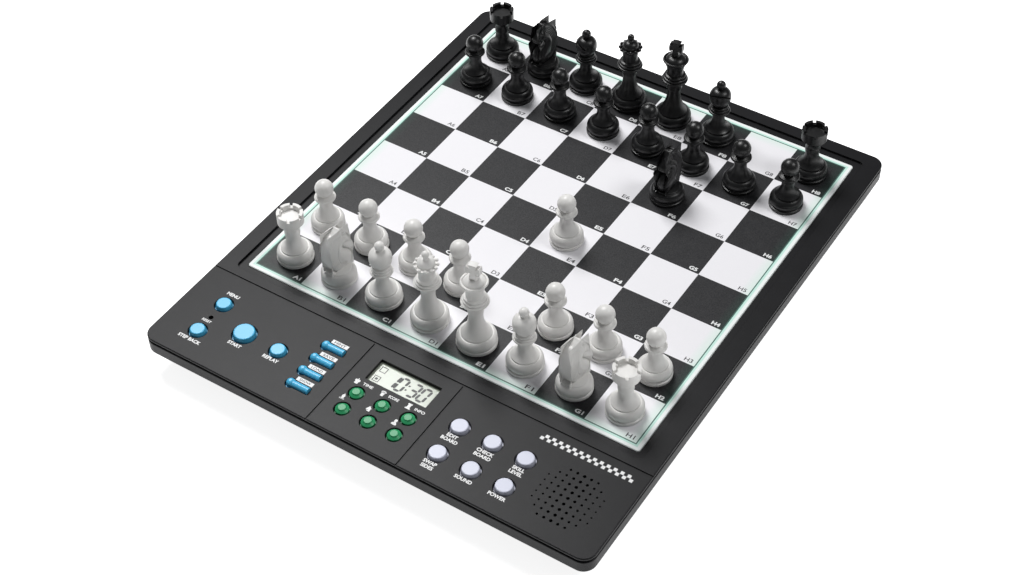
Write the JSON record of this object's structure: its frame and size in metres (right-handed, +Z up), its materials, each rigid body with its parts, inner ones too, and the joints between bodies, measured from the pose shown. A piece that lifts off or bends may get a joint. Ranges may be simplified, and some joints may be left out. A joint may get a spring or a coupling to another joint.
{
  "type": "electronic chess computer",
  "caption": "Electronic chess computer: flat two-part case with a pressure-sensing board, keypad, small display, speaker grille, battery bay and a full set of chessmen.",
  "frame": {"origin": "middle of the case's footprint, on the surface that the rubber feet stand on", "axes": "+X to the player's right along the ranks, +Y away from the player along the files, +Z up"},
  "size_m": [0.2952, 0.355, 0.0872],
  "materials": {
    "case_plastic": "fine-grained moulded ABS, satin",
    "board_print": "printed checker with a mint border, satin",
    "membrane_film": "polyester film",
    "connector_plastic": "moulded, satin",
    "circuit_board": "solder resist, glossy",
    "chip_epoxy": "matte epoxy",
    "silicone": "matte silicone",
    "display_glass": "polished polariser over a pale grey-green cell",
    "display_frame": "matte",
    "speaker_cone": "matte",
    "wire_jacket": "satin PVC",
    "cell_jacket": "plain glossy sleeve",
    "contact_metal": "nickel plated",
    "screw_steel": "zinc plated",
    "foot_rubber": "matte",
    "blue_key_plastic": "satin moulded",
    "green_key_plastic": "glossy moulded",
    "grey_key_plastic": "satin moulded",
    "white_chessman": "satin moulded",
    "black_chessman": "satin gloss moulded"
  },
  "bodies": {
    "case": {"top_cover": "case_plastic", "bottom_cover": "case_plastic", "board_panel": "board_print", "sensor_membrane": "membrane_film", "membrane_ribbon": "membrane_film", "ribbon_connector": "connector_plastic", "main_pcb": "circuit_board", "processor_chip": "chip_epoxy", "reset_switch": "connector_plastic", "key_mat": "silicone", "lcd_glass": "display_glass", "lcd_holder": "display_frame", "lcd_strips": "silicone", "speaker": "speaker_cone", "speaker_lead": "wire_jacket", "battery_lead": "wire_jacket", "batteries": "cell_jacket", "battery_contacts": "contact_metal", "case_screws": "screw_steel", "pcb_screws": "screw_steel", "rubber_feet": "foot_rubber"},
    "battery_door": {"battery_door": "case_plastic"},
    "blue_key_rear_left": {"blue_key_rear_left": "blue_key_plastic"},
    "blue_key_front_left": {"blue_key_front_left": "blue_key_plastic"},
    "blue_key_right": {"blue_key_right": "blue_key_plastic"},
    "blue_key_large": {"blue_key_large": "blue_key_plastic"},
    "bar_key_1": {"bar_key_1": "blue_key_plastic"},
    "bar_key_2": {"bar_key_2": "blue_key_plastic"},
    "bar_key_3": {"bar_key_3": "blue_key_plastic"},
    "bar_key_4": {"bar_key_4": "blue_key_plastic"},
    "green_key_rear_left": {"green_key_rear_left": "green_key_plastic"},
    "green_key_rear_middle": {"green_key_rear_middle": "green_key_plastic"},
    "green_key_rear_right": {"green_key_rear_right": "green_key_plastic"},
    "green_key_front_left": {"green_key_front_left": "green_key_plastic"},
    "green_key_front_middle": {"green_key_front_middle": "green_key_plastic"},
    "green_key_front_right": {"green_key_front_right": "green_key_plastic"},
    "grey_key_rear_left": {"grey_key_rear_left": "grey_key_plastic"},
    "grey_key_rear_middle": {"grey_key_rear_middle": "grey_key_plastic"},
    "grey_key_rear_right": {"grey_key_rear_right": "grey_key_plastic"},
    "grey_key_front_left": {"grey_key_front_left": "grey_key_plastic"},
    "grey_key_front_middle": {"grey_key_front_middle": "grey_key_plastic"},
    "grey_key_front_right": {"grey_key_front_right": "grey_key_plastic"},
    "white_rook_left": {"white_rook_left": "white_chessman"},
    "white_knight_left": {"white_knight_left": "white_chessman"},
    "white_bishop_left": {"white_bishop_left": "white_chessman"},
    "white_queen": {"white_queen": "white_chessman"},
    "white_king": {"white_king": "white_chessman"},
    "white_bishop_right": {"white_bishop_right": "white_chessman"},
    "white_knight_right": {"white_knight_right": "white_chessman"},
    "white_rook_right": {"white_rook_right": "white_chessman"},
    "white_pawns": {"white_pawns": "white_chessman"},
    "black_rook_left": {"black_rook_left": "black_chessman"},
    "black_knight_left": {"black_knight_left": "black_chessman"},
    "black_bishop_left": {"black_bishop_left": "black_chessman"},
    "black_queen": {"black_queen": "black_chessman"},
    "black_king": {"black_king": "black_chessman"},
    "black_bishop_right": {"black_bishop_right": "black_chessman"},
    "black_knight_right": {"black_knight_right": "black_chessman"},
    "black_rook_right": {"black_rook_right": "black_chessman"},
    "black_pawns": {"black_pawns": "black_chessman"}
  },
  "joints": [
    {"name": "battery_door_slide", "type": "slide", "parent": "case", "child": "battery_door", "axis": [0, 1, 0], "range_m": [0, 0.035]},
    {"name": "blue_key_rear_left_press", "type": "slide", "parent": "case", "child": "blue_key_rear_left", "axis": [0, 0, 1], "range_m": [-0.0015, 0], "stiffness_N_per_m": 300, "springref_m": 0.0004},
    {"name": "blue_key_front_left_press", "type": "slide", "parent": "case", "child": "blue_key_front_left", "axis": [0, 0, 1], "range_m": [-0.0015, 0], "stiffness_N_per_m": 300, "springref_m": 0.0004},
    {"name": "blue_key_right_press", "type": "slide", "parent": "case", "child": "blue_key_right", "axis": [0, 0, 1], "range_m": [-0.0015, 0], "stiffness_N_per_m": 300, "springref_m": 0.0004},
    {"name": "blue_key_large_press", "type": "slide", "parent": "case", "child": "blue_key_large", "axis": [0, 0, 1], "range_m": [-0.0015, 0], "stiffness_N_per_m": 300, "springref_m": 0.0004},
    {"name": "bar_key_1_press", "type": "slide", "parent": "case", "child": "bar_key_1", "axis": [0, 0, 1], "range_m": [-0.0015, 0], "stiffness_N_per_m": 300, "springref_m": 0.0004},
    {"name": "bar_key_2_press", "type": "slide", "parent": "case", "child": "bar_key_2", "axis": [0, 0, 1], "range_m": [-0.0015, 0], "stiffness_N_per_m": 300, "springref_m": 0.0004},
    {"name": "bar_key_3_press", "type": "slide", "parent": "case", "child": "bar_key_3", "axis": [0, 0, 1], "range_m": [-0.0015, 0], "stiffness_N_per_m": 300, "springref_m": 0.0004},
    {"name": "bar_key_4_press", "type": "slide", "parent": "case", "child": "bar_key_4", "axis": [0, 0, 1], "range_m": [-0.0015, 0], "stiffness_N_per_m": 300, "springref_m": 0.0004},
    {"name": "green_key_rear_left_press", "type": "slide", "parent": "case", "child": "green_key_rear_left", "axis": [0, 0, 1], "range_m": [-0.0015, 0], "stiffness_N_per_m": 300, "springref_m": 0.0004},
    {"name": "green_key_rear_middle_press", "type": "slide", "parent": "case", "child": "green_key_rear_middle", "axis": [0, 0, 1], "range_m": [-0.0015, 0], "stiffness_N_per_m": 300, "springref_m": 0.0004},
    {"name": "green_key_rear_right_press", "type": "slide", "parent": "case", "child": "green_key_rear_right", "axis": [0, 0, 1], "range_m": [-0.0015, 0], "stiffness_N_per_m": 300, "springref_m": 0.0004},
    {"name": "green_key_front_left_press", "type": "slide", "parent": "case", "child": "green_key_front_left", "axis": [0, 0, 1], "range_m": [-0.0015, 0], "stiffness_N_per_m": 300, "springref_m": 0.0004},
    {"name": "green_key_front_middle_press", "type": "slide", "parent": "case", "child": "green_key_front_middle", "axis": [0, 0, 1], "range_m": [-0.0015, 0], "stiffness_N_per_m": 300, "springref_m": 0.0004},
    {"name": "green_key_front_right_press", "type": "slide", "parent": "case", "child": "green_key_front_right", "axis": [0, 0, 1], "range_m": [-0.0015, 0], "stiffness_N_per_m": 300, "springref_m": 0.0004},
    {"name": "grey_key_rear_left_press", "type": "slide", "parent": "case", "child": "grey_key_rear_left", "axis": [0, 0, 1], "range_m": [-0.0015, 0], "stiffness_N_per_m": 300, "springref_m": 0.0004},
    {"name": "grey_key_rear_middle_press", "type": "slide", "parent": "case", "child": "grey_key_rear_middle", "axis": [0, 0, 1], "range_m": [-0.0015, 0], "stiffness_N_per_m": 300, "springref_m": 0.0004},
    {"name": "grey_key_rear_right_press", "type": "slide", "parent": "case", "child": "grey_key_rear_right", "axis": [0, 0, 1], "range_m": [-0.0015, 0], "stiffness_N_per_m": 300, "springref_m": 0.0004},
    {"name": "grey_key_front_left_press", "type": "slide", "parent": "case", "child": "grey_key_front_left", "axis": [0, 0, 1], "range_m": [-0.0015, 0], "stiffness_N_per_m": 300, "springref_m": 0.0004},
    {"name": "grey_key_front_middle_press", "type": "slide", "parent": "case", "child": "grey_key_front_middle", "axis": [0, 0, 1], "range_m": [-0.0015, 0], "stiffness_N_per_m": 300, "springref_m": 0.0004},
    {"name": "grey_key_front_right_press", "type": "slide", "parent": "case", "child": "grey_key_front_right", "axis": [0, 0, 1], "range_m": [-0.0015, 0], "stiffness_N_per_m": 300, "springref_m": 0.0004},
    {"name": "white_rook_left_lift", "type": "slide", "parent": "case", "child": "white_rook_left", "axis": [0, 0, 1], "range_m": [0, 0.08]},
    {"name": "white_knight_left_lift", "type": "slide", "parent": "case", "child": "white_knight_left", "axis": [0, 0, 1], "range_m": [0, 0.08]},
    {"name": "white_bishop_left_lift", "type": "slide", "parent": "case", "child": "white_bishop_left", "axis": [0, 0, 1], "range_m": [0, 0.08]},
    {"name": "white_queen_lift", "type": "slide", "parent": "case", "child": "white_queen", "axis": [0, 0, 1], "range_m": [0, 0.08]},
    {"name": "white_king_lift", "type": "slide", "parent": "case", "child": "white_king", "axis": [0, 0, 1], "range_m": [0, 0.08]},
    {"name": "white_bishop_right_lift", "type": "slide", "parent": "case", "child": "white_bishop_right", "axis": [0, 0, 1], "range_m": [0, 0.08]},
    {"name": "white_knight_right_lift", "type": "slide", "parent": "case", "child": "white_knight_right", "axis": [0, 0, 1], "range_m": [0, 0.08]},
    {"name": "white_rook_right_lift", "type": "slide", "parent": "case", "child": "white_rook_right", "axis": [0, 0, 1], "range_m": [0, 0.08]},
    {"name": "white_pawns_lift", "type": "slide", "parent": "case", "child": "white_pawns", "axis": [0, 0, 1], "range_m": [0, 0.08]},
    {"name": "black_rook_left_lift", "type": "slide", "parent": "case", "child": "black_rook_left", "axis": [0, 0, 1], "range_m": [0, 0.08]},
    {"name": "black_knight_left_lift", "type": "slide", "parent": "case", "child": "black_knight_left", "axis": [0, 0, 1], "range_m": [0, 0.08]},
    {"name": "black_bishop_left_lift", "type": "slide", "parent": "case", "child": "black_bishop_left", "axis": [0, 0, 1], "range_m": [0, 0.08]},
    {"name": "black_queen_lift", "type": "slide", "parent": "case", "child": "black_queen", "axis": [0, 0, 1], "range_m": [0, 0.08]},
    {"name": "black_king_lift", "type": "slide", "parent": "case", "child": "black_king", "axis": [0, 0, 1], "range_m": [0, 0.08]},
    {"name": "black_bishop_right_lift", "type": "slide", "parent": "case", "child": "black_bishop_right", "axis": [0, 0, 1], "range_m": [0, 0.08]},
    {"name": "black_knight_right_lift", "type": "slide", "parent": "case", "child": "black_knight_right", "axis": [0, 0, 1], "range_m": [0, 0.08]},
    {"name": "black_rook_right_lift", "type": "slide", "parent": "case", "child": "black_rook_right", "axis": [0, 0, 1], "range_m": [0, 0.08]},
    {"name": "black_pawns_lift", "type": "slide", "parent": "case", "child": "black_pawns", "axis": [0, 0, 1], "range_m": [0, 0.08]}
  ]
}
